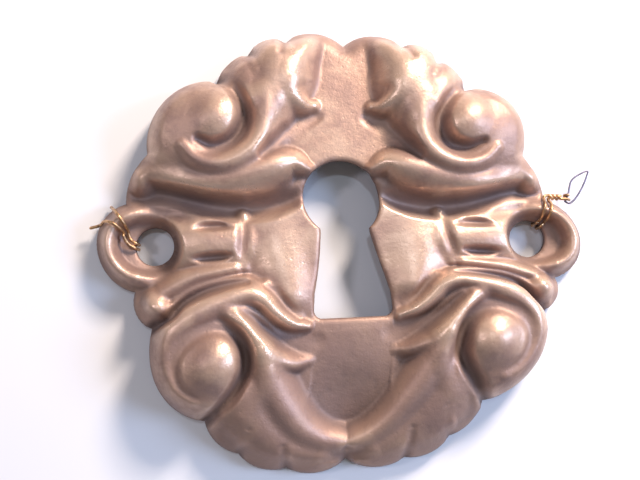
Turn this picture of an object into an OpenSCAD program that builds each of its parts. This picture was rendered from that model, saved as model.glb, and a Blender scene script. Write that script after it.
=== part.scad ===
// Ornate keyhole escutcheon: one die-stamped sheet with scroll relief, a keyhole, two nail ears,
// and the wires that are tied through the ears. Back rim on z = 0, front up, origin midway
// between the two nail holes. Millimetres.

/* [Plate] */
// Distance between the centres of the two nail holes
hole_spacing = 38.9; // [38:0.1:40]
// Diameter of a nail hole
hole_d = 3.9; // [3:0.1:4.2]
// Thickness of the stamped sheet, measured straight down
sheet = 0.8; // [0.6:0.1:1]
// Height of the dished seat round a nail hole
seat_z = 1.5; // [1.3:0.1:1.7]
// Width of the rounded roll along the outer edge
edge_roll = 2.2; // [1.6:0.1:2.6]
// Height of the plain field at the middle of the plate
field_z = 4.2; // [3.8:0.1:4.6]

/* [Keyhole] */
// Diameter of the round top of the keyhole
key_d = 7.8; // [7:0.1:8.2]
// Height of the circle's centre above the line of the nail holes
key_y = 4.3; // [4:0.1:4.6]
// Width of the neck under the circle
neck_w = 5; // [4:0.1:5.6]
// Width of the foot of the keyhole
foot_w = 8; // [7:0.1:8.6]
// Distance of the foot below the line of the nail holes
foot_y = 7.7; // [7.4:0.1:7.8]

/* [Wires] */
// Diameter of the two tie wires
tie_d = 0.32; // [0.25:0.01:0.36]
// Diameter of the fine wire loop
loop_d = 0.2; // [0.15:0.01:0.24]
// Running clearance of the fine loop in its eye, on the radius
eye_gap = 0.05; // [0.03:0.01:0.08]

/* [Hidden] */
$fn = 48;

BRASS = "#8a5a3c";
TIE = "#b07a4a";
DARK = "#3b3a44";

// ---- Lobed outline, right half, clockwise from the top: x, y, bulge of the next lobe, columns in it
LOBES = [
    [0, 20.9, 1.2, 5], [6.1, 21.1, 0.85, 3], [10.1, 19.6, 0.65, 3], [13.2, 16.6, 2.45, 8],
    [19.7, 9.1, 0.55, 4], [22, 4.3, 3.4, 9], [22, -4.4, 0.85, 3], [20.4, -8, 2.3, 8],
    [14.4, -17.3, 0.65, 4], [10.9, -20.7, 0.75, 4], [6.1, -22.5, 0.95, 5], [0, -22.1, 0, 0]];
ROWS = 24;
RIM_ROWS = 2;           // outermost rows whose underside stands on the back plane

// ---- Relief, right half. A dome is x, y, radius, height, drop at that radius. A crest or a hollow
// ---- is a smooth line through points of x, y, height, half-width.
DOME = 0;
CREST = 1;
HOLLOW = 2;
RELIEF = [
    // plain fields beside the keyhole, and the sunken field under it
    [HOLLOW, [[6.4, 2.6, 4.3, 3.4], [7, -1, 4.7, 3.6], [6.4, -4.6, 5, 3]]],
    [HOLLOW, [[0, -9, 4.1, 6], [0, -12, 3.7, 6], [0, -15, 2.8, 6], [0, -18, 1.9, 5.5]]],
    // bulbs of the upper and the lower volute
    [DOME, [14.3, 11.2, 5.8, 6.8, 2.4]],
    [DOME, [14.6, -10.8, 6, 6.9, 2.5]],
    // bodies of the top leaf, the bottom leaf and the ear's root
    [CREST, [[6, 21, 4.2, 3.2], [6.6, 18.6, 6.1, 3.3], [7, 15.8, 6.7, 3.2], [7.6, 12.8, 6.7, 2.4]]],
    [CREST, [[10.4, 19, 4, 2.6], [9.8, 16.6, 5.7, 2.6], [9, 14, 6.6, 2.2]]],
    [CREST, [[10.6, -13.6, 5.8, 3.2], [9, -16.4, 5.3, 3.6], [6.4, -18.8, 4.5, 3.4], [3, -20.4, 3.6, 2.8]]],
    [CREST, [[11, 0, 4.9, 3.3], [14.5, 0, 4.8, 3.4], [18.2, 0, 3.9, 3.4]]],
    // rolled inner edge of the top leaf, curling in to a nose
    [CREST, [[2.6, 21.5, 3, 1.7], [4, 20, 4.9, 2], [5.2, 18.2, 6.1, 2.2], [5.8, 16.5, 6.6, 2.3],
             [5.6, 15.1, 6.5, 2], [4.8, 14.2, 6, 1.6], [3.8, 13.7, 5.2, 1.3], [3, 13.7, 4.5, 1.1]]],
    // outer and inner scroll bands under the upper volute, and its knob
    [CREST, [[3.2, 7.2, 4.9, 1.1], [4.7, 7.8, 5.9, 1.6], [6.4, 7.5, 6.5, 2], [8.4, 6.9, 6.6, 2.2],
             [10.6, 6.4, 6.5, 2.2], [13.4, 6.2, 6.2, 2.3], [16.4, 6.7, 5.4, 2.2], [19, 7.2, 4.2, 1.8]]],
    [CREST, [[8.2, 14.8, 6.6, 2], [7.8, 12.6, 6.9, 1.9], [8, 10.6, 7.1, 1.8], [8.9, 9, 7.2, 1.7],
             [10.5, 7.9, 7.2, 1.6], [12.4, 7.5, 7.1, 1.5], [14.2, 8, 6.9, 1.4], [15.6, 9.3, 6.7, 1.2]]],
    [DOME, [12.6, 11.9, 3.2, 7.5, 1.8]],
    // scroll bands of the lower volute: the outer one runs down beside the keyhole's foot
    [CREST, [[18.5, -12.4, 5.4, 2], [18.4, -10, 6.1, 2.1], [17.3, -7.7, 6.6, 2.1], [15, -6, 6.8, 2],
             [12.6, -5.1, 6.6, 1.8], [10.7, -4.6, 6.4, 1.5], [9.1, -5, 6.3, 1.4], [7.8, -6.3, 6, 1.3],
             [6.3, -7.4, 5.5, 1.1], [4.6, -8, 4.7, 0.9]]],
    [CREST, [[12.6, -6, 6.5, 1.6], [11.2, -6.9, 6.9, 1.6], [9.9, -8.2, 7.1, 1.6], [9, -10, 7, 1.7],
             [8.6, -12, 6.5, 2], [9, -14, 5.9, 2.2], [10, -15.8, 5.2, 2.2]]],
    [CREST, [[9, -9.8, 6.9, 1.6], [7.7, -10.8, 6.2, 1.5], [6, -11.4, 5.2, 1.4], [4.4, -11.4, 4.1, 1.2]]],
    [DOME, [13.7, -10.8, 3, 7.8, 1.7]],
    // rolled inner edge of the bottom leaf
    [CREST, [[8.5, -11.8, 6.3, 2], [7.5, -14.2, 5.9, 2.4], [6.1, -16.2, 5.4, 2.4], [4.5, -18, 4.8, 2.2],
             [2.4, -19.4, 4.1, 1.9], [0, -20.1, 3.5, 1.7]]],
    // valleys under the outer band and between the bands
    [HOLLOW, [[3.9, 5, 3.8, 1], [5.4, 4.2, 3, 1.4], [7.6, 3.6, 2.6, 1.6], [10, 3.4, 2.5, 1.6],
              [12.8, 3.7, 2.6, 1.5], [15.4, 4.3, 2.5, 1.4], [17.8, 4.9, 2.2, 1.3], [20.6, 5.2, 1.4, 1.3]]],
    [HOLLOW, [[2.6, 12.7, 3.5, 0.9], [4, 11.9, 3.7, 1.2], [5.6, 10.7, 4.1, 1.2], [6.8, 9.5, 4.9, 1],
              [7.8, 8.5, 5.8, 0.7]]],
    // creases between the lobes of the top leaf, and the spiral crease round the upper knob
    [HOLLOW, [[6.1, 21.6, 1.4, 0.8], [6.4, 20.2, 4.4, 0.7], [6.7, 18.8, 5.7, 0.5]]],
    [HOLLOW, [[10.2, 19.9, 1.4, 0.8], [9.6, 18.3, 4.8, 0.7], [8.9, 16.8, 6, 0.5]]],
    [HOLLOW, [[13.2, 16.8, 1.4, 0.9], [12, 15.8, 4.5, 1], [10.7, 14.5, 5.1, 1], [9.9, 12.8, 5.2, 1],
              [10.1, 11.1, 5.2, 1], [11.1, 9.8, 5.3, 0.9], [12.7, 9.3, 5.6, 0.8], [14.2, 9.8, 6.1, 0.6]]],
    // groove between the keyhole's field and the ear, then two slots in the ear's root
    [HOLLOW, [[10, 2.8, 3.6, 0.9], [10.2, 1, 4.1, 0.8], [10.5, -0.8, 4.2, 0.8], [10.5, -2.4, 4.3, 0.7]]],
    [HOLLOW, [[11.6, 1.7, 4.3, 0.5], [12.4, 1.75, 3.7, 0.65], [14, 1.7, 3.6, 0.65], [15.2, 1.6, 4.2, 0.5]]],
    [HOLLOW, [[11.9, -1.2, 4.3, 0.5], [12.8, -1.3, 3.7, 0.65], [14.4, -1.4, 3.6, 0.65],
              [15.6, -1.5, 4.1, 0.5]]],
    [CREST, [[11.4, -2.4, 4.6, 1.1], [13.4, -2.7, 4.7, 1.2], [16, -3.2, 4.5, 1.3], [18.8, -4.3, 4.1, 1.3]]],
    [HOLLOW, [[10.4, -3.5, 4.9, 0.6], [12.4, -3.7, 4.4, 0.7], [14.8, -4.2, 4, 0.8], [16.9, -5.1, 3.5, 0.8],
              [18.3, -6.5, 3.1, 0.8], [20.3, -8, 1.4, 0.8]]],
    // creases between the lower scroll bands
    [HOLLOW, [[8.6, -3.8, 4.9, 0.6], [7.5, -4.7, 4.6, 0.7], [6.5, -6, 4.4, 0.7], [5.4, -7, 4.3, 0.6]]],
    [HOLLOW, [[10.9, -6, 5.9, 0.7], [10, -6.7, 5.2, 0.9], [8.6, -8, 4.5, 1.1], [6.6, -9.2, 4, 1.2],
              [3.8, -9.7, 3.8, 1.2]]],
    // creases between the lobes of the bottom leaf, and the spiral crease round the lower knob
    [HOLLOW, [[10.9, -20.9, 1.4, 0.8], [10.6, -19.4, 3.7, 0.7], [9.9, -17.6, 4.9, 0.6]]],
    [HOLLOW, [[6.1, -22.6, 1.4, 0.8], [6.3, -21.2, 3.2, 0.7], [6.4, -19.6, 4.2, 0.6]]],
    [HOLLOW, [[0, -22.2, 1.4, 0.9], [0, -20.9, 2.7, 0.7]]],
    [HOLLOW, [[15.2, -14.4, 6, 0.8], [16.8, -13.2, 5.9, 0.9], [17.6, -11.3, 5.9, 1], [17.2, -9.5, 6.1, 1],
              [15.9, -8.2, 6.2, 1], [13.9, -7.5, 6, 1], [12, -8.1, 5.6, 1], [10.9, -9.7, 5.1, 1],
              [10.7, -11.6, 4.8, 1], [11.3, -13.4, 4.6, 1], [12.4, -15, 4.3, 1], [13.5, -16.4, 3.4, 0.9],
              [14.4, -17.4, 1.4, 0.8]]],
    // small balls below and above the ear
    [DOME, [19.4, -5.6, 1.5, 4.8, 1.3]],
    [DOME, [20.1, 6.9, 1.7, 4, 1.4]]];

FALL = 0.0028;          // how fast the plain field falls away from the middle
BLEND = 0.6;            // softness where a crest meets what lies under it
CREST_DROP = 2;         // drop of a crest at its half-width
STEPS = 5;              // straight pieces between two points of a line
REACH = 4;              // beyond this distance a line changes nothing
EAR = [20.8, 0];        // centre of the raised ring round the ear
EAR_R = 3.2;            // radius of the ring's crest
EAR_Z = 3.5;            // height of the ring's crest
EAR_HALF = 1.2;         // half-width of the ring
SEAT_R = 2;             // flat part of the seat, as a radius
SEAT_OUT = 3.2;         // radius where the seat has run out
SKEW = 0.5;             // how much higher the lower right volute sits, and how much lower the left one
SWAY = 0.5;             // sideways sway of the hand-cut die's centre line
SWAY_LENGTH = 28;       // length of one sway
KEYSTONE = 0.032 / 15;  // how much taller the left half is than the right, for each mm across

// ---- Small helpers
function unit(v) = v / norm(v);
function clamp01(v) = max(0, min(1, v));
function smooth_max(a, b, k) = max(a, b) + pow(max(k - abs(a - b), 0), 2) / (4 * k);
function smooth_step(v) = let (s = clamp01(v)) s * s * (3 - 2 * s);

// Points of an arc from p towards q that bulges by `sag` to the left of the way it runs, without q
function arc_points(p, q, sag, n) =
    let (c = norm(q - p), d = (q - p) / c, out = [-d[1], d[0]],
         r = (c * c / 4 + sag * sag) / (2 * sag),
         centre = (p + q) / 2 + out * (sag - r),
         half = asin(c / 2 / r))
    [for (k = [0:n - 1]) let (t = half * (2 * k / n - 1)) centre + r * (sin(t) * d + cos(t) * out)];

// A smooth line through all the points of p
function smooth_line(p, n) =
    let (q = concat([2 * p[0] - p[1]], p, [2 * p[len(p) - 1] - p[len(p) - 2]]))
    concat([for (i = [1:len(q) - 3], k = [0:n - 1])
        let (t = k / n, a = q[i - 1], b = q[i], c = q[i + 1], d = q[i + 2])
        (2 * b + (c - a) * t + (2 * a - 5 * b + 4 * c - d) * t * t + (3 * b - a - 3 * c + d) * t * t * t) / 2],
        [p[len(p) - 1]]);

function flat(v) = [v[0], v[1]];

// Where p is nearest to the piece from a to b: distance, then the rest of a point's values there
function near_piece(p, a, b) =
    let (ab = flat(b - a), t = clamp01(((p - flat(a)) * ab) / (ab * ab)), q = a + t * (b - a))
    [norm(p - flat(q)), q[2], q[3]];

function near_line(p, line) =
    let (all = [for (i = [0:len(line) - 2]) near_piece(p, line[i], line[i + 1])],
         best = min([for (s = all) s[0]]))
    [for (s = all) if (s[0] == best) s][0];

// ---- Relief height at a point of the right half
LINES = [for (f = RELIEF) f[0] == DOME ? f[1] : smooth_line(f[1], STEPS)];
BOXES = [for (i = [0:len(RELIEF) - 1]) RELIEF[i][0] == DOME ? [] :
    let (xs = [for (q = LINES[i]) q[0]], ys = [for (q = LINES[i]) q[1]])
    [min(xs) - REACH, max(xs) + REACH, min(ys) - REACH, max(ys) + REACH]];

function inside(p, b) = p[0] > b[0] && p[0] < b[1] && p[1] > b[2] && p[1] < b[3];

function feature(kind, shape, p, h) =
    kind == DOME ?
        let (s = norm(p - flat(shape)) / shape[2]) smooth_max(h, shape[3] - shape[4] * s * s, 0.5) :
    let (n = near_line(p, shape), s = n[0] / n[2])
    kind == CREST ? smooth_max(h, n[1] - CREST_DROP * s * s, BLEND) :
    s < 1 ? h + (n[1] - h) * pow(1 - s * s, 2) : h;

function carve(p, h, i = 0) =
    i == len(RELIEF) ? h :
    let (kind = RELIEF[i][0], near = kind == DOME || inside(p, BOXES[i]))
    carve(p, near ? feature(kind, LINES[i], p, h) : h, i + 1);

function field(p) =
    field_z - FALL * (p * p) - 1.2 * clamp01(1 - pow(norm(p - [20.6, 0]) / 6, 2));

function ear_ring(p, h) =
    let (s = (norm(p - EAR) - EAR_R) / EAR_HALF, in = clamp01((p[0] - 18.5) / 3))
    h + in * (smooth_max(h, EAR_Z - 2 * s * s, 0.4) - h);

function ear_seat(p, h) =
    h + smooth_step((SEAT_OUT - norm(p - [hole_spacing / 2, 0])) / (SEAT_OUT - SEAT_R)) * (seat_z - h);

OUTLINE = concat([for (i = [0:len(LOBES) - 2], q = arc_points(flat(LOBES[i]), flat(LOBES[i + 1]),
    LOBES[i][2], LOBES[i][3])) q], [flat(LOBES[len(LOBES) - 1])]);
EDGE_LINE = concat([for (i = [0:len(LOBES) - 2], q = arc_points(flat(LOBES[i]), flat(LOBES[i + 1]),
    LOBES[i][2], 12)) q], [flat(LOBES[len(LOBES) - 1])]);

function edge_distance(p) =
    min([for (i = [0:len(EDGE_LINE) - 2]) near_piece(p, EDGE_LINE[i], EDGE_LINE[i + 1])[0]]);

// Height of the front at a drawn place of one half: side is 1 on the right, -1 on the left
function relief(side, p) =
    let (edge = edge_distance(p),
         low = smooth_step((-2 - p[1]) / 4) * smooth_step(edge / 4) * smooth_step(p[0] / 7),
         s = [p[0], p[1] - side * SKEW * low],
         h = ear_seat(s, ear_ring(s, carve(s, field(s)))),
         q = 1 - clamp01(edge / edge_roll))
    sheet + (h - sheet) * sqrt(1 - q * q);

// ---- From the drawn right half to the finished plate, and back
function sway(y) = -SWAY * sin(360 * y / SWAY_LENGTH);
function placed(side, p) = let (x = side * p[0] + sway(p[1])) [x, p[1] * (1 - KEYSTONE * x)];
function top_z(p) =
    let (y = p[1] / (1 - KEYSTONE * p[0]), x = p[0] - sway(y))
    relief(sign(x), [abs(x), y]);

// A point `off` above the front surface, measured square to it
function above(p, off) =
    let (e = 0.1, h = top_z(p),
         n = unit([(h - top_z(p + [e, 0])) / e, (h - top_z(p + [0, e])) / e, 1]))
    [p[0], p[1], h] + off * n;

// ---- Keyhole, right half from the top of the circle to the middle of the foot, `m` inside the edge
CORNER_R = 0.85;
NECK_Y = 1.25;
function keyhole_half(m) =
    let (r = key_d / 2 - m, neck = neck_w / 2 - m, foot = foot_w / 2 - m,
         turn = acos(neck / r) + 90, low = m - foot_y)
    concat([for (k = [0:16]) let (a = 90 - turn * k / 16) [r * cos(a), key_y + r * sin(a)]],
        [[neck + 0.35, NECK_Y - 2.25], [neck + 0.85, NECK_Y - 4.45], [foot - 0.2, NECK_Y - 6.45]],
        [for (k = [0:4]) let (a = -90 * k / 4)
            [foot - CORNER_R + CORNER_R * cos(a), low + CORNER_R + CORNER_R * sin(a)]],
        [[0, low]]);

// The same number of evenly spaced points along a line of any shape
function along(path, n) =
    let (run = [for (i = 0, s = 0; i < len(path); i = i + 1, s = i < len(path) ?
            s + norm(path[i] - path[i - 1]) : s) s],
         total = run[len(run) - 1])
    [for (k = [0:n])
        [for (axis = [0, 1]) lookup(total * k / n, [for (i = [0:len(path) - 1]) [run[i], path[i][axis]]])]];

// ---- The shell: columns run from inside the keyhole out to the edge
HALF = len(OUTLINE) - 1;
COLS = 2 * HALF;
INNER = along(keyhole_half(0.6), HALF);
function spread(j) = let (s = j / ROWS) 0.55 * s + 0.45 * sin(90 * s);
function grid_point(c, j) =
    let (side = c <= HALF ? 1 : -1, k = c <= HALF ? c : COLS - c,
         g = INNER[k] + spread(j) * (OUTLINE[k] - INNER[k]), p = placed(side, g))
    [p[0], p[1], relief(side, g)];
TOP = [for (c = [0:COLS - 1], j = [0:ROWS]) grid_point(c, j)];
UNDER = len(TOP);
function at(c, j, under = 0) = (c % COLS) * (ROWS + 1) + j + under * UNDER;
BELOW = 0.5;            // the rim's underside is drawn this far below the back plane, then cut flat
UNDERSIDE = [for (c = [0:COLS - 1], j = [0:ROWS]) let (p = TOP[at(c, j)])
    [p[0], p[1], j > ROWS - RIM_ROWS ? -BELOW : p[2] - sheet]];

module shell() {
    quads = concat(
        [for (c = [0:COLS - 1], j = [0:ROWS - 1]) [at(c, j), at(c, j + 1), at(c + 1, j + 1), at(c + 1, j)]],
        [for (c = [0:COLS - 1], j = [0:ROWS - 1])
            [at(c, j, 1), at(c + 1, j, 1), at(c + 1, j + 1, 1), at(c, j + 1, 1)]],
        [for (c = [0:COLS - 1]) [at(c + 1, ROWS), at(c, ROWS), at(c, ROWS, 1), at(c + 1, ROWS, 1)]],
        [for (c = [0:COLS - 1]) [at(c, 0), at(c + 1, 0), at(c + 1, 0, 1), at(c, 0, 1)]]);
    polyhedron(
        points = concat(TOP, UNDERSIDE),
        faces = [for (q = quads, t = [[q[0], q[1], q[2]], [q[0], q[2], q[3]]]) t]);
}

module keyhole_cut() {
    half = keyhole_half(0);
    edge = concat([for (p = half) placed(1, p)],
        [for (i = [len(half) - 2:-1:1]) placed(-1, half[i])]);
    translate([0, 0, -1]) linear_extrude(height = 12) polygon(edge);
}

module below_back_plane() {
    translate([-50, -50, -10]) cube([100, 100, 10]);
}

module nail_hole_cut(side) {
    translate([side * hole_spacing / 2, 0, -1]) cylinder(d = hole_d, h = 8);
}

// ---- Round wire along a path: each ring of points is carried on from the one before it
WIRE_SIDES = 10;
function wire_normals(t) = [for (i = 0, n = unit(cross(t[0], abs(t[0][2]) < 0.8 ? [0, 0, 1] : [1, 0, 0]));
    i < len(t); i = i + 1, n = i < len(t) ? unit(n - (n * t[i]) * t[i]) : n) n];

module wire(path, d) {
    last = len(path) - 1;
    t = [for (i = [0:last]) unit(path[min(i + 1, last)] - path[max(i - 1, 0)])];
    n = wire_normals(t);
    points = [for (i = [0:last], k = [0:WIRE_SIDES - 1])
        let (a = 360 * k / WIRE_SIDES) path[i] + d / 2 * (cos(a) * n[i] + sin(a) * cross(t[i], n[i]))];
    sides = [for (i = [0:last - 1], k = [0:WIRE_SIDES - 1])
        let (a = i * WIRE_SIDES + k, b = i * WIRE_SIDES + (k + 1) % WIRE_SIDES)
        each [[a, b + WIRE_SIDES, b], [a, a + WIRE_SIDES, b + WIRE_SIDES]]];
    caps = [[for (k = [0:WIRE_SIDES - 1]) k], [for (k = [WIRE_SIDES - 1:-1:0]) last * WIRE_SIDES + k]];
    polyhedron(points = points, faces = concat(sides, caps));
}

TIE_OFF = tie_d / 2 + 0.2;
function laid(points) = [for (p = points) above(p, TIE_OFF)];

// ---- Sub-parts
module escutcheon_plate() {
    color(BRASS) difference() {
        shell();
        below_back_plane();
        keyhole_cut();
        nail_hole_cut(-1);
        nail_hole_cut(1);
    }
}

// A hairpin of wire: its bight hooks under the ear, both legs come up through the nail hole and
// over the raised ring, and the ends splay, one down at the rim and one sticking out sideways.
module left_tie_wire() {
    up_leg = laid([[-21.85, 0.75], [-22.05, 1.35], [-22.2, 1.95], [-22.35, 2.45], [-22.7, 2.95],
        [-23.15, 3.45]]);
    side_leg = laid([[-22.65, 1.6], [-22.85, 1.95], [-23.3, 2.25], [-24, 2.4]]);
    path = concat([[-23.95, 4.25, 0.55]], [for (i = [len(up_leg) - 1:-1:0]) up_leg[i]],
        [[-21.25, 0.35, 1.95], [-21.15, 0.26, 1.2], [-21.15, 0.3, 0.55], [-21.6, 0.55, 0.3],
         [-22.3, 1, 0.35], [-22.9, 1.35, 0.6], [-23.1, 1.15, 0.7], [-22.95, 0.85, 0.6],
         [-22.35, 0.4, 0.35], [-21.7, 0, 0.3], [-21.2, -0.2, 0.55], [-21.17, -0.18, 1.2], [-21.3, -0.12, 1.95],
         [-21.8, 0.15, 2.25], [-22.15, 0.55, 2.45], [-22.4, 1.1, 2.7]],
        side_leg, [[-24.9, 2.3, 1.6], [-25.9, 2.05, 1.5]]);
    color(TIE) wire(smooth_line(path, 2), tie_d);
}

// The same hairpin at the right ear, but its legs are twisted together beyond the rim and the end
// of one leg runs into a small eye that stands on edge.
EYE = [23.95, 4.3, 1.45];
EYE_AXIS = unit([0.45, 0.9, 0]);
EYE_R = loop_d / 2 + eye_gap + tie_d / 2;
TWIST = [[21.8, 4.35, 1.75], [23.3, 4.3, 1.5]];
TURNS = 1.5;
TWIST_STEPS = 12;
function twist_strand(phase) =
    let (d = TWIST[1] - TWIST[0], u = unit(cross(d, [0, 1, 0])), v = unit(cross(d, u)))
    [for (k = [0:TWIST_STEPS]) let (a = phase + 360 * TURNS * k / TWIST_STEPS)
        TWIST[0] + d * k / TWIST_STEPS + (tie_d / 2 + 0.03) * (cos(a) * u + sin(a) * v)];

// One turn of a coil round the eye's centre, from the free end to where the strand leaves it
EYE_STEPS = 20;
EYE_PITCH = 0.42;
ACROSS = [EYE_AXIS[1], -EYE_AXIS[0], 0];
EYE_TURN = [for (k = [0:EYE_STEPS]) let (a = 90 + 360 * k / EYE_STEPS)
    EYE + EYE_R * (cos(a) * ACROSS + sin(a) * [0, 0, 1]) + EYE_PITCH * (0.5 - k / EYE_STEPS) * EYE_AXIS];

module right_tie_wire() {
    outer = twist_strand(270);
    path = concat(EYE_TURN,
        [for (k = [TWIST_STEPS - 1:-1:0]) outer[k]],
        [[21.35, 4.42, 1.98]],
        laid([[21, 3.9], [20.9, 3.35], [20.85, 2.95], [20.75, 2.5], [20.65, 2.1]]),
        [[20.35, 1.62, 1.95], [20.33, 1.48, 1.15], [20.35, 1.5, 0.5], [20.7, 1.95, 0.3], [21.1, 2.5, 0.5],
         [21.4, 2.75, 0.75], [21.65, 2.6, 0.7], [21.5, 2.1, 0.4], [21.15, 1.55, 0.3], [20.8, 1.2, 0.5],
         [20.75, 1.12, 1.15], [20.82, 1.28, 1.95]],
        laid([[21.15, 1.8], [21.3, 2.25], [21.42, 2.7], [21.52, 3.15], [21.6, 3.6]]),
        twist_strand(90));
    color(TIE) wire(smooth_line(path, 2), tie_d);
}

// Fine wire bent into a long pointed loop. Its straight end runs through the eye and turns there.
PIN_HALF = 0.5;
PIN_D = loop_d + 0.02;
module wire_loop() {
    a = EYE - PIN_HALF * EYE_AXIS;
    b = EYE + PIN_HALF * EYE_AXIS;
    path = concat([b - 0.04 * EYE_AXIS],
        [for (p = [[24.3, 5.4], [24.5, 6], [25, 6.5], [25.85, 6.95], [26.3, 7.1], [26.4, 6.95],
            [26.25, 6.55], [26, 5.95], [25.55, 5.1], [25, 4.3], [24.6, 3.9], [24.15, 3.68]]) [p[0], p[1], EYE[2]]],
        [a + 0.04 * EYE_AXIS]);
    color(DARK) {
        wire(smooth_line(path, 3), loop_d);
        translate(a) rotate([0, 0, atan2(EYE_AXIS[1], EYE_AXIS[0])]) rotate([0, 90, 0])
            cylinder(d = PIN_D, h = 2 * PIN_HALF);
    }
}

escutcheon_plate();
left_tie_wire();
right_tie_wire();
wire_loop();
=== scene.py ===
"""Looks of a stamped keyhole escutcheon with its two tie wires and a fine wire loop.

The relief, the outline, the keyhole and the wires' routes are the CAD part's own, in millimetres.
They are evaluated here on a much finer mesh. Everything else in the scene is in metres.
"""

import math

import bmesh
import bpy
import numpy as np
from mathutils import Euler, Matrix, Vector


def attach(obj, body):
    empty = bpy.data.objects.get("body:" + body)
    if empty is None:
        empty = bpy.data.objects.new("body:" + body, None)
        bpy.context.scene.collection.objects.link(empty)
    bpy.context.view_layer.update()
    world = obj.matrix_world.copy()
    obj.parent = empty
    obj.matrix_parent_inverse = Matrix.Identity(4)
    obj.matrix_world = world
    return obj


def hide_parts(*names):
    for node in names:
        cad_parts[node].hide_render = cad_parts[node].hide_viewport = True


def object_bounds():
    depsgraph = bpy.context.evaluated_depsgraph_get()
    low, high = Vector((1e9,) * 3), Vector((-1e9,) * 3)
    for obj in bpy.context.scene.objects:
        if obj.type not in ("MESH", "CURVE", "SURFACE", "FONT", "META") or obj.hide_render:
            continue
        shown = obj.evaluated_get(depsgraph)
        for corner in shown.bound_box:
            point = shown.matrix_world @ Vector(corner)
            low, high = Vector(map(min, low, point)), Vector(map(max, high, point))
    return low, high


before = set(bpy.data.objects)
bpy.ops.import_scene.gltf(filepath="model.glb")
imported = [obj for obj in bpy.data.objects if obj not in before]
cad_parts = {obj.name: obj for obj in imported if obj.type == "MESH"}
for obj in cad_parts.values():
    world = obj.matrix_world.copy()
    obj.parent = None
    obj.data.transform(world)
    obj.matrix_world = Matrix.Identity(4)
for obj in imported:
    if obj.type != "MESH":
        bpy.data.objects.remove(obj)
cad_box = [list(corner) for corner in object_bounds()]

MM = 0.001

# ---- Driving sizes, in millimetres
HOLE_X = 19.45          # nail holes from the middle
HOLE_R = 1.95
SHEET = 0.8
SEAT_Z = 1.5
EDGE_ROLL = 2.2
FIELD_Z = 4.2
KEY_R = 3.9
KEY_Y = 4.3
NECK_HALF = 2.5
FOOT_HALF = 4
FOOT_Y = 7.7
TIE_D = 0.32
LOOP_D = 0.2
EYE_GAP = 0.05

# ---- Lobed outline, right half, clockwise from the top: x, y, bulge of the next lobe, its columns
LOBES = [
    [0, 20.9, 1.2, 5], [6.1, 21.1, 0.85, 3], [10.1, 19.6, 0.65, 3], [13.2, 16.6, 2.45, 8],
    [19.7, 9.1, 0.55, 4], [22, 4.3, 3.4, 9], [22, -4.4, 0.85, 3], [20.4, -8, 2.3, 8],
    [14.4, -17.3, 0.65, 4], [10.9, -20.7, 0.75, 4], [6.1, -22.5, 0.95, 5], [0, -22.1, 0, 0]]
COLUMN_SPLIT = 6        # mesh columns for each column of the outline's table
TOP_ROWS = 92
BACK_ROWS = 34

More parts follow.
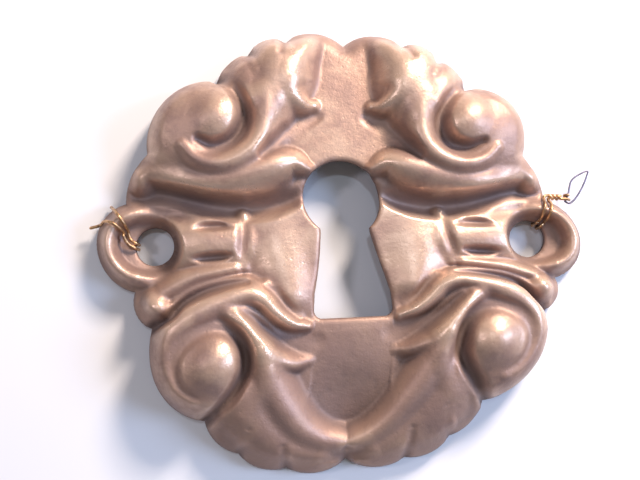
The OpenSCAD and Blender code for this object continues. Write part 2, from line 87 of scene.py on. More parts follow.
# ---- Relief, right half. A dome is x, y, radius, height, drop at that radius. A crest or a hollow
# ---- is a smooth line through points of x, y, height, half-width.
DOME, CREST, HOLLOW = 0, 1, 2
RELIEF = [
    # plain fields beside the keyhole, and the sunken field under it
    [HOLLOW, [[6.4, 2.6, 4.3, 3.4], [7, -1, 4.7, 3.6], [6.4, -4.6, 5, 3]]],
    [HOLLOW, [[0, -9, 4.1, 6], [0, -12, 3.7, 6], [0, -15, 2.8, 6], [0, -18, 1.9, 5.5]]],
    # bulbs of the upper and the lower volute
    [DOME, [14.3, 11.2, 5.8, 6.8, 2.4]],
    [DOME, [14.6, -10.8, 6, 6.9, 2.5]],
    # bodies of the top leaf, the bottom leaf and the ear's root
    [CREST, [[6, 21, 4.2, 3.2], [6.6, 18.6, 6.1, 3.3], [7, 15.8, 6.7, 3.2], [7.6, 12.8, 6.7, 2.4]]],
    [CREST, [[10.4, 19, 4, 2.6], [9.8, 16.6, 5.7, 2.6], [9, 14, 6.6, 2.2]]],
    [CREST, [[10.6, -13.6, 5.8, 3.2], [9, -16.4, 5.3, 3.6], [6.4, -18.8, 4.5, 3.4],
             [3, -20.4, 3.6, 2.8]]],
    [CREST, [[11, 0, 4.9, 3.3], [14.5, 0, 4.8, 3.4], [18.2, 0, 3.9, 3.4]]],
    # rolled inner edge of the top leaf, curling in to a nose
    [CREST, [[2.6, 21.5, 3, 1.7], [4, 20, 4.9, 2], [5.2, 18.2, 6.1, 2.2], [5.8, 16.5, 6.6, 2.3],
             [5.6, 15.1, 6.5, 2], [4.8, 14.2, 6, 1.6], [3.8, 13.7, 5.2, 1.3], [3, 13.7, 4.5, 1.1]]],
    # outer and inner scroll bands under the upper volute, and its knob
    [CREST, [[3.2, 7.2, 4.9, 1.1], [4.7, 7.8, 5.9, 1.6], [6.4, 7.5, 6.5, 2], [8.4, 6.9, 6.6, 2.2],
             [10.6, 6.4, 6.5, 2.2], [13.4, 6.2, 6.2, 2.3], [16.4, 6.7, 5.4, 2.2],
             [19, 7.2, 4.2, 1.8]]],
    [CREST, [[8.2, 14.8, 6.6, 2], [7.8, 12.6, 6.9, 1.9], [8, 10.6, 7.1, 1.8], [8.9, 9, 7.2, 1.7],
             [10.5, 7.9, 7.2, 1.6], [12.4, 7.5, 7.1, 1.5], [14.2, 8, 6.9, 1.4],
             [15.6, 9.3, 6.7, 1.2]]],
    [DOME, [12.6, 11.9, 3.2, 7.5, 1.8]],
    # scroll bands of the lower volute: the outer one runs down beside the keyhole's foot
    [CREST, [[18.5, -12.4, 5.4, 2], [18.4, -10, 6.1, 2.1], [17.3, -7.7, 6.6, 2.1], [15, -6, 6.8, 2],
             [12.6, -5.1, 6.6, 1.8], [10.7, -4.6, 6.4, 1.5], [9.1, -5, 6.3, 1.4],
             [7.8, -6.3, 6, 1.3], [6.3, -7.4, 5.5, 1.1], [4.6, -8, 4.7, 0.9]]],
    [CREST, [[12.6, -6, 6.5, 1.6], [11.2, -6.9, 6.9, 1.6], [9.9, -8.2, 7.1, 1.6], [9, -10, 7, 1.7],
             [8.6, -12, 6.5, 2], [9, -14, 5.9, 2.2], [10, -15.8, 5.2, 2.2]]],
    [CREST, [[9, -9.8, 6.9, 1.6], [7.7, -10.8, 6.2, 1.5], [6, -11.4, 5.2, 1.4],
             [4.4, -11.4, 4.1, 1.2]]],
    [DOME, [13.7, -10.8, 3, 7.8, 1.7]],
    # rolled inner edge of the bottom leaf
    [CREST, [[8.5, -11.8, 6.3, 2], [7.5, -14.2, 5.9, 2.4], [6.1, -16.2, 5.4, 2.4],
             [4.5, -18, 4.8, 2.2], [2.4, -19.4, 4.1, 1.9], [0, -20.1, 3.5, 1.7]]],
    # valleys under the outer band and between the bands
    [HOLLOW, [[3.9, 5, 3.8, 1], [5.4, 4.2, 3, 1.4], [7.6, 3.6, 2.6, 1.6], [10, 3.4, 2.5, 1.6],
              [12.8, 3.7, 2.6, 1.5], [15.4, 4.3, 2.5, 1.4], [17.8, 4.9, 2.2, 1.3],
              [20.6, 5.2, 1.4, 1.3]]],
    [HOLLOW, [[2.6, 12.7, 3.5, 0.9], [4, 11.9, 3.7, 1.2], [5.6, 10.7, 4.1, 1.2], [6.8, 9.5, 4.9, 1],
              [7.8, 8.5, 5.8, 0.7]]],
    # creases between the lobes of the top leaf, and the spiral crease round the upper knob
    [HOLLOW, [[6.1, 21.6, 1.4, 0.8], [6.4, 20.2, 4.4, 0.7], [6.7, 18.8, 5.7, 0.5]]],
    [HOLLOW, [[10.2, 19.9, 1.4, 0.8], [9.6, 18.3, 4.8, 0.7], [8.9, 16.8, 6, 0.5]]],
    [HOLLOW, [[13.2, 16.8, 1.4, 0.9], [12, 15.8, 4.5, 1], [10.7, 14.5, 5.1, 1], [9.9, 12.8, 5.2, 1],
              [10.1, 11.1, 5.2, 1], [11.1, 9.8, 5.3, 0.9], [12.7, 9.3, 5.6, 0.8],
              [14.2, 9.8, 6.1, 0.6]]],
    # groove between the keyhole's field and the ear, then two slots in the ear's root
    [HOLLOW, [[10, 2.8, 3.6, 0.9], [10.2, 1, 4.1, 0.8], [10.5, -0.8, 4.2, 0.8],
              [10.5, -2.4, 4.3, 0.7]]],
    [HOLLOW, [[11.6, 1.7, 4.3, 0.5], [12.4, 1.75, 3.7, 0.65], [14, 1.7, 3.6, 0.65],
              [15.2, 1.6, 4.2, 0.5]]],
    [HOLLOW, [[11.9, -1.2, 4.3, 0.5], [12.8, -1.3, 3.7, 0.65], [14.4, -1.4, 3.6, 0.65],
              [15.6, -1.5, 4.1, 0.5]]],
    [CREST, [[11.4, -2.4, 4.6, 1.1], [13.4, -2.7, 4.7, 1.2], [16, -3.2, 4.5, 1.3],
             [18.8, -4.3, 4.1, 1.3]]],
    [HOLLOW, [[10.4, -3.5, 4.9, 0.6], [12.4, -3.7, 4.4, 0.7], [14.8, -4.2, 4, 0.8],
              [16.9, -5.1, 3.5, 0.8], [18.3, -6.5, 3.1, 0.8], [20.3, -8, 1.4, 0.8]]],
    # creases between the lower scroll bands
    [HOLLOW, [[8.6, -3.8, 4.9, 0.6], [7.5, -4.7, 4.6, 0.7], [6.5, -6, 4.4, 0.7],
              [5.4, -7, 4.3, 0.6]]],
    [HOLLOW, [[10.9, -6, 5.9, 0.7], [10, -6.7, 5.2, 0.9], [8.6, -8, 4.5, 1.1], [6.6, -9.2, 4, 1.2],
              [3.8, -9.7, 3.8, 1.2]]],
    # creases between the lobes of the bottom leaf, and the spiral crease round the lower knob
    [HOLLOW, [[10.9, -20.9, 1.4, 0.8], [10.6, -19.4, 3.7, 0.7], [9.9, -17.6, 4.9, 0.6]]],
    [HOLLOW, [[6.1, -22.6, 1.4, 0.8], [6.3, -21.2, 3.2, 0.7], [6.4, -19.6, 4.2, 0.6]]],
    [HOLLOW, [[0, -22.2, 1.4, 0.9], [0, -20.9, 2.7, 0.7]]],
    [HOLLOW, [[15.2, -14.4, 6, 0.8], [16.8, -13.2, 5.9, 0.9], [17.6, -11.3, 5.9, 1],
              [17.2, -9.5, 6.1, 1], [15.9, -8.2, 6.2, 1], [13.9, -7.5, 6, 1], [12, -8.1, 5.6, 1],
              [10.9, -9.7, 5.1, 1], [10.7, -11.6, 4.8, 1], [11.3, -13.4, 4.6, 1],
              [12.4, -15, 4.3, 1], [13.5, -16.4, 3.4, 0.9], [14.4, -17.4, 1.4, 0.8]]],
    # small balls below and above the ear
    [DOME, [19.4, -5.6, 1.5, 4.8, 1.3]],
    [DOME, [20.1, 6.9, 1.7, 4, 1.4]]]


FALL = 0.0028           # how fast the plain field falls away from the middle
BLEND = 0.6             # softness where a crest meets what lies under it
DOME_BLEND = 0.5        # the same where a ball does
LINE_STEPS = 6          # points to each stretch of a smooth line
CREST_DROP = 2          # drop of a crest at its half-width
REACH = 4               # beyond this distance a line changes nothing
EAR = (20.6, 20.8)      # middle of the ear's hollow and of the raised ring round it
EAR_DIP, EAR_DIP_R = 1.2, 6             # the plain field sinks there, within this radius
RING_R, RING_Z, RING_HALF = 3.2, 3.5, 1.2
RING_FROM, RING_FADE = 18.5, 3          # the ring begins here and is whole this much further out
RING_BLEND = 0.4        # softness where it meets the ear
SEAT_IN, SEAT_OUT = 2, 3.2              # a nail hole's seat: flat to one radius, gone at the other
SWAY, SWAY_LENGTH = 0.5, 28             # of the centre line from side to side, and its wave's length
SKEW = 0.5              # the lower right volute sits this much higher, the left one lower
SKEW_FROM, SKEW_FADE = -2, 4            # it begins at this y and is whole this much lower
SKEW_EDGE, SKEW_MIDDLE = 4, 7           # it fades out this near to the outline and to the middle
KEYSTONE = 0.032 / 15   # how much lower the plate gets for each mm to the right


# ---- Relief
def smooth_line(points, n):
    """A smooth line through all the points, n pieces from each to the next."""
    p = np.array(points, float)
    q = np.vstack([2 * p[0] - p[1], p, 2 * p[-1] - p[-2]])
    t = (np.arange(n) / n)[:, None]
    pieces = []
    for a, b, c, d in zip(q[:-3], q[1:-2], q[2:-1], q[3:]):
        pieces.append((2 * b + (c - a) * t + (2 * a - 5 * b + 4 * c - d) * t**2
                       + (3 * b - a - 3 * c + d) * t**3) / 2)
    return np.vstack(pieces + [p[-1:]])


def smooth_max(a, b, k):
    return np.maximum(a, b) + np.maximum(k - np.abs(a - b), 0) ** 2 / (4 * k)


def smooth_step(v):
    v = np.clip(v, 0, 1)
    return v * v * (3 - 2 * v)


def near_line(x, y, line):
    """Distance of each point from a line, and the line's other values at the nearest place."""
    best = np.full(x.shape, 1e9)
    values = np.zeros(x.shape + (line.shape[1] - 2,))
    for a, b in zip(line[:-1], line[1:]):
        ab = b - a
        t = np.clip(((x - a[0]) * ab[0] + (y - a[1]) * ab[1]) / (ab[0] ** 2 + ab[1] ** 2), 0, 1)
        away = np.hypot(x - a[0] - t * ab[0], y - a[1] - t * ab[1])
        nearer = away < best
        best = np.where(nearer, away, best)
        values = np.where(nearer[..., None], a[2:] + t[..., None] * ab[2:], values)
    return best, values


def carve(u, y, h, features):
    """Adds each dome, crest or hollow in turn to the height h."""
    h = h.copy()
    for kind, shape in features:
        if kind == DOME:
            cx, cy, radius, z, drop = shape
            h = smooth_max(h, z - drop * (np.hypot(u - cx, y - cy) / radius) ** 2, DOME_BLEND)
            continue
        line = smooth_line(shape, LINE_STEPS)
        low, high = line.min(0) - REACH, line.max(0) + REACH
        near = (u > low[0]) & (u < high[0]) & (y > low[1]) & (y < high[1])
        if not near.any():
            continue
        away, value = near_line(u[near], y[near], line)
        z, half = value[:, 0], value[:, 1]
        if kind == CREST:
            h[near] = smooth_max(h[near], z - CREST_DROP * (away / half) ** 2, BLEND)
        else:
            h[near] += (z - h[near]) * np.clip(1 - (away / half) ** 2, 0, None) ** 2
    return h


def arc_points(p, q, bulge, n):
    """Points of an arc from p towards q that bulges to the left of the way it runs, without q."""
    chord = np.hypot(*(q - p))
    d = (q - p) / chord
    out = np.array([-d[1], d[0]])
    radius = (chord * chord / 4 + bulge * bulge) / (2 * bulge)
    centre = (p + q) / 2 + out * (bulge - radius)
    t = math.asin(chord / 2 / radius) * (2 * np.arange(n) / n - 1)
    return centre + radius * (np.sin(t)[:, None] * d + np.cos(t)[:, None] * out)


def outline(split):
    """Right half of the outline, split columns for each column in the table."""
    pieces = []
    for lobe, after in zip(LOBES[:-1], LOBES[1:]):
        start, end = np.array([lobe[:2], after[:2]], float)
        pieces.append(arc_points(start, end, lobe[2], lobe[3] * split))
    return np.vstack(pieces + [np.array([LOBES[-1][:2]], float)])


EDGE_LINE = outline(3)


def edge_distance(u, y):
    return near_line(u, y, EDGE_LINE)[0]


def relief(side, u, y):
    """Height of the front at drawn places of one half: side is 1 on the right, -1 on the left."""
    below = smooth_step((SKEW_FROM - y) / SKEW_FADE)
    low = below * smooth_step(edge_distance(u, y) / SKEW_EDGE) * smooth_step(u / SKEW_MIDDLE)
    flat_y, y = y, y - side * SKEW * low
    dip = np.clip(1 - (np.hypot(u - EAR[0], y) / EAR_DIP_R) ** 2, 0, 1)
    h = FIELD_Z - FALL * (u * u + y * y) - EAR_DIP * dip
    h = carve(u, y, h, RELIEF)
    s = (np.hypot(u - EAR[1], y) - RING_R) / RING_HALF
    ring = smooth_max(h, RING_Z - CREST_DROP * s * s, RING_BLEND)
    h += np.clip((u - RING_FROM) / RING_FADE, 0, 1) * (ring - h)
    h += smooth_step((SEAT_OUT - np.hypot(u - HOLE_X, y)) / (SEAT_OUT - SEAT_IN)) * (SEAT_Z - h)
    q = 1 - np.clip(edge_distance(u, flat_y) / EDGE_ROLL, 0, 1)
    return SHEET + (h - SHEET) * np.sqrt(1 - q * q)


def sway(y):
    return -SWAY * np.sin(np.radians(360 * y / SWAY_LENGTH))


def placed(side, u, y):
    """From the drawn right half to the plate."""
    x = side * u + sway(y)
    return x, y * (1 - KEYSTONE * x)


def drawn(x, y):
    y = y / (1 - KEYSTONE * x)
    return np.sign(x), np.abs(x - sway(y)), y


def above(points, off):
    """Points off above the front, measured square to it."""
    x, y = np.array(points, float).T
    e = 0.1     # how far aside the slope is measured
    h = relief(*drawn(x, y))
    fall_x = (h - relief(*drawn(x + e, y))) / e
    fall_y = (h - relief(*drawn(x, y + e))) / e
    n = np.stack([fall_x, fall_y, np.ones_like(h)], -1)
    n /= np.linalg.norm(n, axis=1, keepdims=True)
    return np.stack([x, y, h], -1) + off * n


# ---- Keyhole
def keyhole_half():
    """Right half of the keyhole from the top of its circle to the middle of its foot."""
    corner, neck_y = 0.85, 1.25
    turn = math.acos(NECK_HALF / KEY_R) + math.pi / 2
    a = math.pi / 2 - turn * np.arange(33) / 32
    circle = np.stack([KEY_R * np.cos(a), KEY_Y + KEY_R * np.sin(a)], -1)
    side = [(NECK_HALF, neck_y - 0.35), (NECK_HALF + 0.35, neck_y - 2.25),
            (NECK_HALF + 0.85, neck_y - 4.45), (FOOT_HALF - 0.15, neck_y - 6.45)]
    a = -math.pi / 2 * np.arange(9) / 8
    foot = np.stack([FOOT_HALF - corner + corner * np.cos(a),
                     corner - FOOT_Y + corner * np.sin(a)], -1)
    return np.vstack([circle, smooth_line(side, LINE_STEPS), foot, [(0, -FOOT_Y)]])


def along(path, n):
    """n + 1 evenly spaced points along a line of any shape."""
    run = np.concatenate([[0], np.cumsum(np.hypot(*np.diff(path, axis=0).T))])
    at = np.linspace(0, run[-1], n + 1)
    return np.stack([np.interp(at, run, path[:, 0]), np.interp(at, run, path[:, 1])], -1)


# ---- The plate
KEY_LIP, KEY_LIP_DROP = 0.5, 0.25       # the keyhole's edge rolls down by this much over this width
RIM_WALL = ((0, 0.5), (0.03, 0.25), (0.14, 0.08), (0.36, 0))    # inwards and height at the rim
RIM_IN = 0.6                            # width of the flat rim at the back
KEY_WALL = (0.12, 0.3, 0.5)             # depths down the keyhole's wall
BACK_SHADE = -0.9                       # the back is as dark as the deepest hollow
TOP_CROWD, BACK_CROWD = 0.45, 0.3       # how much the rows crowd towards the outline
BACK_RISE = (0.15, 0.8)                 # greatest height of the first two rows inside the rim
SOFTENING = 70                          # passes that even out the relief to find what is raised
# Painted light and shade, with some real rubbing round the keyhole: lighter patches where the panels
# beside the keyhole and the top leaf catch the light, painted shade where the field under the
# keyhole and the bottom lobes turn away from it: drawn place, reach, how much
PAINTED_LIGHT_AND_WEAR = ((6, -1, 4.5, 0.6), (3, 16, 5, 0.25), (6, 17, 3.5, 0.3), (0, -14.5, 6, -0.55),
        (10, -18, 5, -0.25))


def half_grid(rows, crowd):
    """Drawn places of the right half: columns from the keyhole's edge to the outline."""
    outer = outline(COLUMN_SPLIT)
    inner = along(keyhole_half(), len(outer) - 1)
    s = np.linspace(0, 1, rows)
    t = (1 - crowd) * s + crowd * np.sin(s * math.pi / 2)
    return inner[:, None] + t[None, :, None] * (outer - inner)[:, None]


def softened(z, passes):
    """Each height averaged with its neighbours in a ring-shaped grid, again and again."""
    for _ in range(passes):
        padded = np.hstack([z[:, :1], z, z[:, -1:]])
        z = (z * 2 + np.roll(z, 1, 0) + np.roll(z, -1, 0) + padded[:, 2:] + padded[:, :-2]) / 6
    return z


def half_shell(side):
    """Closed profiles of one half, each from the keyhole to the rim and back underneath."""
    grid = half_grid(TOP_ROWS, TOP_CROWD)
    u, y = grid[..., 0], grid[..., 1]
    # patches of painted light and painted shade, with some real rubbing round the keyhole
    painted_light_and_wear = sum(amount * np.exp(-((u - a) ** 2 + (y - b) ** 2) / reach**2)
               for a, b, reach, amount in PAINTED_LIGHT_AND_WEAR)
    lip = np.clip(1 - np.hypot(u - u[:, :1], y - y[:, :1]) / KEY_LIP, 0, 1) ** 2
    front = np.dstack([grid, relief(side, u, y) - KEY_LIP_DROP * lip])
    edge = front[:, -1, :2]
    inwards = -edge / np.hypot(*edge.T)[:, None]
    wall = [np.column_stack([edge + inset * inwards, np.full(len(front), z)])
            for inset, z in RIM_WALL]
    grid = half_grid(BACK_ROWS, BACK_CROWD)
    under = np.clip(relief(side, grid[..., 0], grid[..., 1]) - SHEET, 0, None)
    back = np.dstack([grid, under])[:, ::-1]
    back[:, 0] = np.column_stack([edge + RIM_IN * inwards, np.zeros(len(front))])
    back[:, 1:3, 2] = np.minimum(back[:, 1:3, 2], BACK_RISE)
    key = [np.column_stack([front[:, 0, :2], front[:, 0, 2] - depth]) for depth in KEY_WALL]
    profile = np.concatenate([front, np.stack(wall, 1), back, np.stack(key[::-1], 1)], 1)
    x, y = placed(side, profile[..., 0], profile[..., 1])
    return np.stack([x, y, profile[..., 2]], -1), painted_light_and_wear


def plate_shell():
    """A ring of closed profiles, with how high each point stands above what lies round it, plus
    patches of painted light and painted shade.
    """
    (right, painted_light_and_wear), (left, _) = half_shell(1), half_shell(-1)
    shell = np.concatenate([right, left[-2:0:-1]])
    shade = np.full(shell.shape[:2], BACK_SHADE)
    top = shell[:, :TOP_ROWS, 2]
    # how high each point stands above its surroundings, which sets the patina and the polished
    # crests, plus the patches of painted light and painted shade
    shade[:, :TOP_ROWS] = top - softened(top, SOFTENING) + np.concatenate([painted_light_and_wear, painted_light_and_wear[-2:0:-1]])
    return shell, shade


def pierce(bm, side):
    """Opens one nail hole. Front and back are cut to the circle, laid on the relief there, and
    joined by a wall."""
    centre = Vector((side * HOLE_X, 0)) * MM
    bm.verts.ensure_lookup_table()
    away = {v: (v.co.xy - centre).length for v in bm.verts
            if abs(v.co.x - centre.x) < 2 * HOLE_R * MM}
    bmesh.ops.delete(bm, geom=[v for v, d in away.items() if d < HOLE_R * MM], context="VERTS")
    rim = [e for e in bm.edges if e.is_boundary]
    ring = list({v for e in rim for v in e.verts})
    old = np.array([v.co for v in ring]) / MM
    front = old[:, 2] > relief(*drawn(old[:, 0], old[:, 1])) - SHEET / 2
    out = old[:, :2] - (side * HOLE_X, 0)
    x, y = ((side * HOLE_X, 0) + HOLE_R * out / np.hypot(*out.T)[:, None]).T
    z = relief(*drawn(x, y)) - np.where(front, 0, SHEET)
    for v, place in zip(ring, np.column_stack([x, y, z]) * MM):
        v.co = place
    bmesh.ops.bridge_loops(bm, edges=rim)


def escutcheon_plate(material):
    shell, shade = plate_shell()
    columns, rows = shade.shape
    c, j = np.meshgrid(np.arange(columns), np.arange(rows), indexing="ij")
    after, below = (c + 1) % columns, (j + 1) % rows
    corners = [c * rows + j, c * rows + below, after * rows + below, after * rows + j]
    faces = np.stack(corners, -1).reshape(-1, 4)
    mesh = bpy.data.meshes.new("stamped_plate")
    mesh.from_pydata(shell.reshape(-1, 3) * MM, [], faces.tolist())
    # the shade attribute: how high each point stands above its surroundings, plus the patches of
    # painted light and painted shade
    raised_and_painted_light = mesh.attributes.new("shade", "FLOAT", "POINT")
    raised_and_painted_light.data.foreach_set("value", shade.ravel().astype(np.float32))
    bm = bmesh.new()
    bm.from_mesh(mesh)
    for side in (-1, 1):
        pierce(bm, side)
    bmesh.ops.recalc_face_normals(bm, faces=bm.faces)
    bm.to_mesh(mesh)
    bm.free()
    return finished(mesh, material)


def finished(mesh, material):
    """Smooth-shaded object of a mesh, in the scene."""
    mesh.materials.append(material)
    mesh.polygons.foreach_set("use_smooth", [True] * len(mesh.polygons))
    mesh.update()
    piece = bpy.data.objects.new(mesh.name, mesh)
    bpy.context.scene.collection.objects.link(piece)
    return piece


# ---- The wires
WIRE_SIDES = 20
END_LENGTH, END_R = 0.3, 0.5    # the domed end: its length in diameters, its last ring in radii


def tube(points, diameter):
    """Vertices and faces of a round wire along a path, its ends domed by one smaller ring."""
    p = np.array(points, float)
    t = np.gradient(p, axis=0)
    t /= np.linalg.norm(t, axis=1, keepdims=True)
    p = np.vstack([p[0] - END_LENGTH * diameter * t[0], p, p[-1] + END_LENGTH * diameter * t[-1]])
    t = np.vstack([t[0], t, t[-1]])
    radius = np.full(len(p), diameter / 2)
    radius[[0, -1]] *= END_R
    a = np.linspace(0, 2 * math.pi, WIRE_SIDES, endpoint=False)
    n = np.cross(t[0], (0, 0, 1) if abs(t[0][2]) < 0.8 else (1, 0, 0))
    rings = []
    for centre, along_wire, r in zip(p, t, radius):
        n = n - n.dot(along_wire) * along_wire
        n /= np.linalg.norm(n)
        side = np.cross(along_wire, n)
        rings.append(centre + r * (np.cos(a)[:, None] * n + np.sin(a)[:, None] * side))
    k = np.arange(WIRE_SIDES)
    after = (k + 1) % WIRE_SIDES
    last = (len(p) - 1) * WIRE_SIDES
    faces = [(i + k0, i + k1, i + WIRE_SIDES + k1, i + WIRE_SIDES + k0)
             for i in range(0, last, WIRE_SIDES) for k0, k1 in zip(k.tolist(), after.tolist())]
    return np.vstack(rings), faces + [tuple(k[::-1].tolist()), tuple((last + k).tolist())]


def wire_piece(name, paths, material):
    """One piece of one or more wires, each a path and a diameter."""
    vertices, faces = [], []
    for path, diameter in paths:
        start = sum(map(len, vertices))
        points, sides = tube(path, diameter)
        vertices.append(points)
        faces += [tuple(start + i for i in f) for f in sides]
    mesh = bpy.data.meshes.new(name)
    mesh.from_pydata(np.vstack(vertices) * MM, [], faces)
    return finished(mesh, material)


TIE_OFF = TIE_D / 2 + 0.2       # from the front to the middle of a wire laid over it


def laid(*points):
    return above(points, TIE_OFF).tolist()


def left_tie_wire(material):
    """A hairpin hooked under the ear, its legs splayed over the raised ring."""
    up_leg = laid((-21.85, 0.75), (-22.05, 1.35), (-22.2, 1.95), (-22.35, 2.45), (-22.7, 2.95),
                  (-23.15, 3.45))
    side_leg = laid((-22.65, 1.6), (-22.85, 1.95), (-23.3, 2.25), (-24, 2.4))
    path = [(-23.95, 4.25, 0.55)] + up_leg[::-1] + [
        (-21.25, 0.35, 1.95), (-21.15, 0.26, 1.2), (-21.15, 0.3, 0.55), (-21.6, 0.55, 0.3),
        (-22.3, 1, 0.35), (-22.9, 1.35, 0.6), (-23.1, 1.15, 0.7), (-22.95, 0.85, 0.6),
        (-22.35, 0.4, 0.35), (-21.7, 0, 0.3), (-21.2, -0.2, 0.55), (-21.17, -0.18, 1.2),
        (-21.3, -0.12, 1.95), (-21.8, 0.15, 2.25), (-22.15, 0.55, 2.45), (-22.4, 1.1, 2.7)]
    path += side_leg + [(-24.9, 2.3, 1.6), (-25.9, 2.05, 1.5)]
    return wire_piece("left_hairpin", [(smooth_line(path, LINE_STEPS), TIE_D)], material)


EYE = np.array([23.95, 4.3, 1.45])
EYE_AXIS = np.array([0.45, 0.9, 0]) / math.hypot(0.45, 0.9)
ACROSS = np.array([EYE_AXIS[1], -EYE_AXIS[0], 0])
EYE_R = LOOP_D / 2 + EYE_GAP + TIE_D / 2
EYE_STEPS, EYE_PITCH = 20, 0.42
PIN_D = LOOP_D + 0.02           # the loop's straight end, which turns in the eye
TWIST = np.array([[21.8, 4.35, 1.75], [23.3, 4.3, 1.5]])
TWIST_STEPS, TURNS = 12, 1.5
TWIST_GAP = 0.03                # between the middle of the twist and each strand


def twist_strand(phase):
    """One of the two strands twisted round each other between the rim and the eye."""
    d = TWIST[1] - TWIST[0]
    u = np.cross(d, (0, 1, 0))
    v = np.cross(d, u)
    u, v = u / np.linalg.norm(u), v / np.linalg.norm(v)
    s = np.arange(TWIST_STEPS + 1)[:, None] / TWIST_STEPS
    a = np.radians(phase + 360 * TURNS * s)
    return (TWIST[0] + d * s + (TIE_D / 2 + TWIST_GAP) * (np.cos(a) * u + np.sin(a) * v)).tolist()


def right_tie_wire(material):
    """The same hairpin with its legs twisted together, one leg ending in an eye of one turn."""
    s = np.arange(EYE_STEPS + 1)[:, None] / EYE_STEPS
    a = np.radians(90 + 360 * s)
    turn = np.cos(a) * ACROSS + np.sin(a) * np.array([0, 0, 1])
    eye = EYE + EYE_R * turn + EYE_PITCH * (0.5 - s) * EYE_AXIS
    path = eye.tolist() + twist_strand(270)[-2::-1] + [(21.35, 4.42, 1.98)]
    path += laid((21, 3.9), (20.9, 3.35), (20.85, 2.95), (20.75, 2.5), (20.65, 2.1))
    path += [
        (20.35, 1.62, 1.95), (20.33, 1.48, 1.15), (20.35, 1.5, 0.5), (20.7, 1.95, 0.3),
        (21.1, 2.5, 0.5), (21.4, 2.75, 0.75), (21.65, 2.6, 0.7), (21.5, 2.1, 0.4),
        (21.15, 1.55, 0.3), (20.8, 1.2, 0.5), (20.75, 1.12, 1.15), (20.82, 1.28, 1.95)]
    path += laid((21.15, 1.8), (21.3, 2.25), (21.42, 2.7), (21.52, 3.15), (21.6, 3.6))
    path += twist_strand(90)
    return wire_piece("right_hairpin", [(smooth_line(path, LINE_STEPS), TIE_D)], material)


def wire_loop(material):
    """Fine wire bent into a long pointed loop whose straight end turns in the eye."""
    pin_half, tuck = 0.5, 0.04
    a, b = EYE - pin_half * EYE_AXIS, EYE + pin_half * EYE_AXIS
    bend = [(24.3, 5.4), (24.5, 6), (25, 6.5), (25.85, 6.95), (26.3, 7.1), (26.4, 6.95),
            (26.25, 6.55), (26, 5.95), (25.55, 5.1), (25, 4.3), (24.6, 3.9), (24.15, 3.68)]
    path = [b - tuck * EYE_AXIS] + [(x, y, EYE[2]) for x, y in bend] + [a + tuck * EYE_AXIS]
    loop, pin = smooth_line(path, LINE_STEPS), np.linspace(a, b, 5)
    return wire_piece("fine_loop", [(loop, LOOP_D), (pin, PIN_D)], material)


# ---- Materials
class Shader:
    """A Principled material with short calls for the nodes that feed it."""

    def __init__(self, name, **sockets):
        self.material = bpy.data.materials.new(name)
        self.material.use_nodes = True
        self.tree = self.material.node_tree
        self.principled = self.tree.nodes["Principled BSDF"]
        for key, value in sockets.items():
            self.principled.inputs[key.replace("_", " ")].default_value = value
        self.place = self.tree.nodes.new("ShaderNodeTexCoord").outputs["Object"]

    def feed(self, socket, value):
        if isinstance(value, bpy.types.NodeSocket):
            self.tree.links.new(value, socket)
        else:
            socket.default_value = value

    def noise(self, size_mm, detail=3.0, roughness=0.55, distortion=0.0):
        """Noise from 0 to 1 whose blotches are about size_mm across."""
        n = self.tree.nodes.new("ShaderNodeTexNoise")
        self.tree.links.new(self.place, n.inputs["Vector"])
        n.inputs["Scale"].default_value = 1 / (size_mm * MM)
        n.inputs["Detail"].default_value = detail
        n.inputs["Roughness"].default_value = roughness
        n.inputs["Distortion"].default_value = distortion
        return n.outputs["Fac"]

    def pits(self, size_mm):
        """Distance to the nearest of many scattered points, in cells."""
        n = self.tree.nodes.new("ShaderNodeTexVoronoi")
        self.tree.links.new(self.place, n.inputs["Vector"])
        n.inputs["Scale"].default_value = 1 / (size_mm * MM)
        return n.outputs["Distance"]

    def attribute(self, name):
        n = self.tree.nodes.new("ShaderNodeAttribute")
        n.attribute_name = name
        return n.outputs["Fac"]

    def span(self, value, low, high, to_low=0.0, to_high=1.0):
        """value carried from low..high to to_low..to_high, and held at the ends."""
        n = self.tree.nodes.new("ShaderNodeMapRange")
        for key, v in (("Value", value), ("From Min", low), ("From Max", high),
                       ("To Min", to_low), ("To Max", to_high)):
            self.feed(n.inputs[key], v)
        return n.outputs["Result"]

    def maths(self, operation, a, b):
        n = self.tree.nodes.new("ShaderNodeMath")
        n.operation = operation
        self.feed(n.inputs[0], a)
        self.feed(n.inputs[1], b)
        return n.outputs[0]

    def mix(self, factor, a, b):
        """Colour a where factor is 0, b where it is 1."""
        n = self.tree.nodes.new("ShaderNodeMix")
        n.data_type = "RGBA"
        self.feed(n.inputs["Factor"], factor)
        for socket, colour in ((n.inputs[6], a), (n.inputs[7], b)):
            self.feed(socket, colour if isinstance(colour, bpy.types.NodeSocket) else (*colour, 1))
        return n.outputs[2]

    def bump(self, height, depth_mm, under=None):
        n = self.tree.nodes.new("ShaderNodeBump")
        n.inputs["Distance"].default_value = depth_mm * MM
        self.feed(n.inputs["Height"], height)
        if under is not None:
            self.feed(n.inputs["Normal"], under)
        return n.outputs["Normal"]

    def set(self, **sockets):
        for key, value in sockets.items():
            self.feed(self.principled.inputs[key.replace("_", " ")], value)
        return self.material


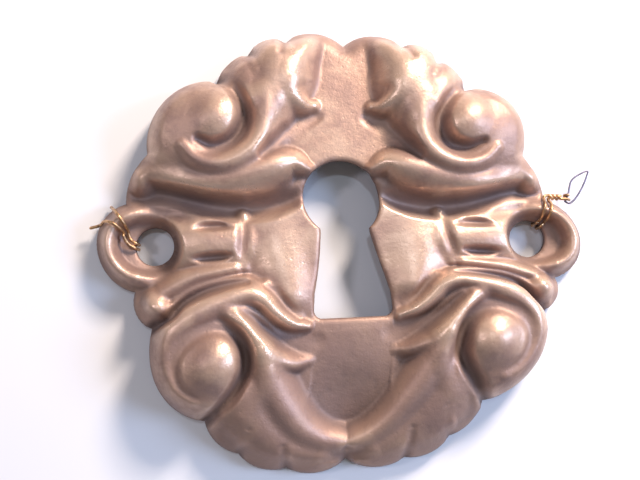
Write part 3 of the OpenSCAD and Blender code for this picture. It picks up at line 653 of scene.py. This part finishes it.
def aged_brass():
    """Copper-brown patina, darker and duller low in the relief, pale polished metal on the crests,
    with painted light on the panels and the top leaf and painted shade on the field under the
    keyhole and the bottom lobes.
    """
    s = Shader("aged_brass", Metallic=0.45, Specular_IOR_Level=0.5)
    shade = s.attribute("shade")
    blotch = s.noise(5.5, 4, 0.6, 0.6)
    cloud = s.noise(1.6, 5, 0.65)
    grain = s.noise(0.28, 4, 0.7)
    # dark patina low in the relief, plus painted shade where the patches of painted shade push the
    # value down
    patina_and_painted_shade = s.span(s.maths("ADD", shade, s.span(cloud, 0.3, 0.7, -0.22, 0.22)), 0.05, -0.75)
    # pale polished metal on the crests, plus painted light where the patches of painted light push
    # the value up
    crest_polish_and_painted_light = s.span(s.maths("ADD", shade, s.span(blotch, 0.3, 0.7, -0.3, 0.3)), 0.1, 1.0)
    base = s.mix(s.span(blotch, 0.35, 0.65), (0.33, 0.205, 0.165), (0.43, 0.275, 0.205))
    base = s.mix(s.span(cloud, 0.42, 0.7, 0, 0.65), base, (0.24, 0.155, 0.135))
    base = s.mix(crest_polish_and_painted_light, base, (0.68, 0.48, 0.36))
    base = s.mix(s.maths("MULTIPLY", patina_and_painted_shade, 0.75), base, (0.13, 0.092, 0.09))
    rough = s.span(cloud, 0.3, 0.7, 0.4, 0.54)
    rough = s.maths("ADD", rough, s.maths("MULTIPLY", patina_and_painted_shade, 0.16))
    rough = s.maths("SUBTRACT", rough, s.maths("MULTIPLY", crest_polish_and_painted_light, 0.26))
    normal = s.bump(cloud, 0.07)
    normal = s.bump(grain, 0.028, normal)
    normal = s.bump(s.span(s.pits(0.9), 0, 0.16), 0.018, normal)
    return s.set(Base_Color=base, Roughness=rough, Normal=normal)


def copper_wire():
    """Annealed wire, tarnished in patches along its length."""
    s = Shader("copper_wire", Metallic=0.9)
    tarnish = s.noise(0.7, 4, 0.6)
    base = s.mix(s.span(tarnish, 0.4, 0.65), (0.62, 0.38, 0.2), (0.25, 0.15, 0.09))
    rough = s.span(tarnish, 0.3, 0.7, 0.3, 0.5)
    return s.set(Base_Color=base, Roughness=rough, Normal=s.bump(s.noise(0.12), 0.008))


def dark_wire():
    """Fine wire gone dark, with a faint blue bloom."""
    s = Shader("dark_wire", Metallic=0.8)
    bloom = s.noise(0.5, 4, 0.6)
    base = s.mix(bloom, (0.1, 0.09, 0.13), (0.24, 0.22, 0.3))
    rough = s.span(bloom, 0.3, 0.7, 0.35, 0.5)
    return s.set(Base_Color=base, Roughness=rough, Normal=s.bump(s.noise(0.08), 0.005))


def table_white():
    s = Shader("table_white", Roughness=0.6, Specular_IOR_Level=0.2)
    return s.set(Base_Color=s.mix(s.noise(40), (0.69, 0.69, 0.73), (0.73, 0.72, 0.75)))


# ---- Camera, floor and lights
CAMERA_AT = (-8.67, -5.89, 83.98)
CAMERA_TURN = (4.42, -4.14, -1.57)
LENS = 45
FLOOR_GAP = 0.02


def camera():
    data = bpy.data.cameras.new("camera")
    data.lens = LENS
    data.sensor_width = 36
    data.clip_start = 0.001
    cam = bpy.data.objects.new("camera", data)
    cam.location = Vector(CAMERA_AT) * MM
    cam.rotation_euler = Euler([math.radians(a) for a in CAMERA_TURN])
    bpy.context.scene.collection.objects.link(cam)
    bpy.context.scene.camera = cam


def floor():
    """A table 3 m square, a hair below the lowest point of the part."""
    half, low = 1.5, cad_box[0][2] - FLOOR_GAP * MM
    mesh = bpy.data.meshes.new("floor")
    corners = [(-half, -half, low), (half, -half, low), (half, half, low), (-half, half, low)]
    mesh.from_pydata(corners, [], [(0, 1, 2, 3)])
    mesh.materials.append(table_white())
    ground = bpy.data.objects.new("floor", mesh)
    bpy.context.scene.collection.objects.link(ground)


def lamp(name, towards, distance, size, power, colour):
    """A square soft light that shines on the middle of the object from one direction."""
    data = bpy.data.lights.new(name, "AREA")
    data.size = size
    data.energy = power
    data.color = colour
    light = bpy.data.objects.new(name, data)
    direction = Vector(towards).normalized()
    light.location = direction * distance
    light.rotation_euler = direction.to_track_quat("Z", "Y").to_euler()
    bpy.context.scene.collection.objects.link(light)


def studio():
    lamp("key", (0.68, 1, 0.85), 0.2, 0.045, 0.74, (1, 0.85, 0.72))
    lamp("sky", (1, 0, 0.72), 0.4, 0.15, 1.4, (0.52, 0.68, 1))
    lamp("window", (-0.8, 0.15, 0.8), 0.4, 0.05, 0.3, (0.9, 0.88, 1))
    lamp("ceiling", (-0.05, 0.25, 1), 0.4, 0.02, 0.2, (0.72, 0.85, 1))
    world = bpy.data.worlds.new("studio")
    world.use_nodes = True
    background = world.node_tree.nodes["Background"]
    background.inputs["Color"].default_value = (1, 0.93, 0.9, 1)
    background.inputs["Strength"].default_value = 0.25
    bpy.context.scene.world = world
    bpy.context.scene.view_settings.view_transform = "Standard"


camera()
floor()
studio()
for node, body, slot, piece in (
        ("escutcheon_plate", "plate", "aged_brass", escutcheon_plate(aged_brass())),
        ("left_tie_wire", "plate", "copper_wire", left_tie_wire(copper_wire())),
        ("right_tie_wire", "plate", "copper_wire", right_tie_wire(copper_wire())),
        ("wire_loop", "loop", "dark_wire", wire_loop(dark_wire()))):
    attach(piece, body)
    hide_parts(node)
